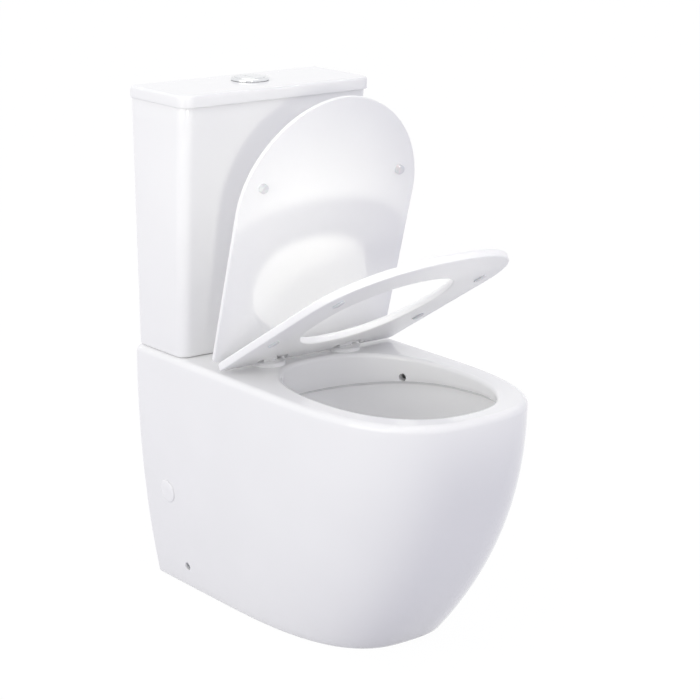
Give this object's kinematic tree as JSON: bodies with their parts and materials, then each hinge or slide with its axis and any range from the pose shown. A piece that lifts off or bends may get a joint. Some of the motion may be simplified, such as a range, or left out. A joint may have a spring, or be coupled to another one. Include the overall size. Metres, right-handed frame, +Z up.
{
  "type": "back to wall toilet",
  "caption": "Close-coupled back to wall toilet: skirted rimless pan, dual flush cistern, and a slim seat and cover on soft-close hinges, both part way open.",
  "frame": {"origin": "on the floor, against the wall, in the middle of the pan's rear edge", "axes": "+Z up, +Y towards the wall, front towards -Y, +X to the right seen from the front"},
  "size_m": [0.368, 0.6499, 0.8365],
  "materials": {
    "glazed_china": "clear gloss glaze",
    "seat_resin": "gloss moulded",
    "cap_plastic": "gloss moulded",
    "bumper_rubber": "soft translucent white",
    "button_chrome": "bright chrome plate",
    "valve_plastic": "moulded",
    "valve_blue": "moulded",
    "black_rubber": "moulded",
    "zinc_steel": "zinc plated"
  },
  "bodies": {
    "base": {"pan_deck": "glazed_china", "pan_skirt": "glazed_china", "pan_bowl": "glazed_china", "pan_trap": "glazed_china", "pan_flush_way": "glazed_china", "side_caps": "cap_plastic", "floor_brackets": "zinc_steel", "side_screws": "zinc_steel", "cistern_tank": "glazed_china", "flush_valve_base": "valve_plastic", "flush_valve_washer": "black_rubber", "flush_valve_nut": "valve_plastic", "coupling_gasket": "black_rubber", "flush_valve_tower": "valve_plastic", "lever_pin": "zinc_steel", "fill_valve_body": "valve_plastic", "fill_valve_cap": "valve_blue", "fill_valve_washer": "black_rubber", "fill_valve_nut": "valve_plastic", "float_pin": "zinc_steel", "coupling_bolts": "zinc_steel", "coupling_seals": "black_rubber", "coupling_washers": "zinc_steel", "coupling_wing_nuts": "valve_plastic", "hinge_plates": "seat_resin", "hinge_posts": "seat_resin", "hinge_pins": "zinc_steel", "hinge_bolts": "zinc_steel", "hinge_cone_washers": "black_rubber", "hinge_wing_nuts": "valve_plastic"},
    "cistern_top": {"cistern_lid": "glazed_china", "button_ring": "button_chrome", "button_nut": "valve_plastic"},
    "half_flush": {"half_flush_button": "button_chrome", "half_flush_rod": "valve_plastic"},
    "full_flush": {"full_flush_button": "button_chrome", "full_flush_rod": "valve_plastic"},
    "half_lever": {"half_flush_lever": "valve_blue"},
    "full_lever": {"full_flush_lever": "valve_blue"},
    "flush_plunger": {"overflow_tube": "valve_blue", "flush_seal": "black_rubber"},
    "float": {"float_cup": "valve_blue"},
    "arm": {"float_arm": "valve_plastic"},
    "cover": {"seat_cover": "seat_resin", "cover_bumpers": "bumper_rubber", "cover_dampers": "valve_plastic"},
    "seat": {"seat_ring": "seat_resin", "seat_bumpers": "bumper_rubber", "seat_dampers": "valve_plastic"}
  },
  "joints": [
    {"name": "cover_hinge", "type": "hinge", "parent": "base", "child": "cover", "pos_m": [0, -0.22, 0.419], "axis": [-1, 0, 0], "range_deg": [-43.5, 20]},
    {"name": "seat_hinge", "type": "hinge", "parent": "base", "child": "seat", "pos_m": [0, -0.22, 0.419], "axis": [-1, 0, 0], "range_deg": [-31, 42]},
    {"name": "cistern_lid_lift", "type": "slide", "parent": "base", "child": "cistern_top", "axis": [0, 0, 1], "range_m": [0, 0.06]},
    {"name": "half_flush_press", "type": "slide", "parent": "cistern_top", "child": "half_flush", "axis": [0, 0, -1], "range_m": [0, 0.006], "stiffness_N_per_m": 600},
    {"name": "full_flush_press", "type": "slide", "parent": "cistern_top", "child": "full_flush", "axis": [0, 0, -1], "range_m": [0, 0.006], "stiffness_N_per_m": 600},
    {"name": "half_lever_rock", "type": "hinge", "parent": "base", "child": "half_lever", "pos_m": [0, -0.07, 0.711], "axis": [1, 0, 0], "range_deg": [0, 22]},
    {"name": "full_lever_rock", "type": "hinge", "parent": "base", "child": "full_lever", "pos_m": [0, -0.07, 0.711], "axis": [1, 0, 0], "range_deg": [0, 22]},
    {"name": "plunger_lift", "type": "slide", "parent": "base", "child": "flush_plunger", "axis": [0, 0, 1], "range_m": [0, 0.0075]},
    {"name": "float_rise", "type": "slide", "parent": "base", "child": "float", "axis": [0, 0, 1], "range_m": [0, 0.022]},
    {"name": "float_arm_turn", "type": "hinge", "parent": "base", "child": "arm", "pos_m": [-0.117, -0.07, 0.691], "axis": [0, -1, 0], "range_deg": [0, 35]}
  ],
  "couplings": [
    {"joint": "half_lever_rock", "follows": "half_flush_press", "rad_per_m": 63.9},
    {"joint": "full_lever_rock", "follows": "full_flush_press", "rad_per_m": 63.9},
    {"joint": "plunger_lift", "follows": "full_flush_press", "ratio": 1.25},
    {"joint": "float_arm_turn", "follows": "float_rise", "rad_per_m": 26.4}
  ]
}
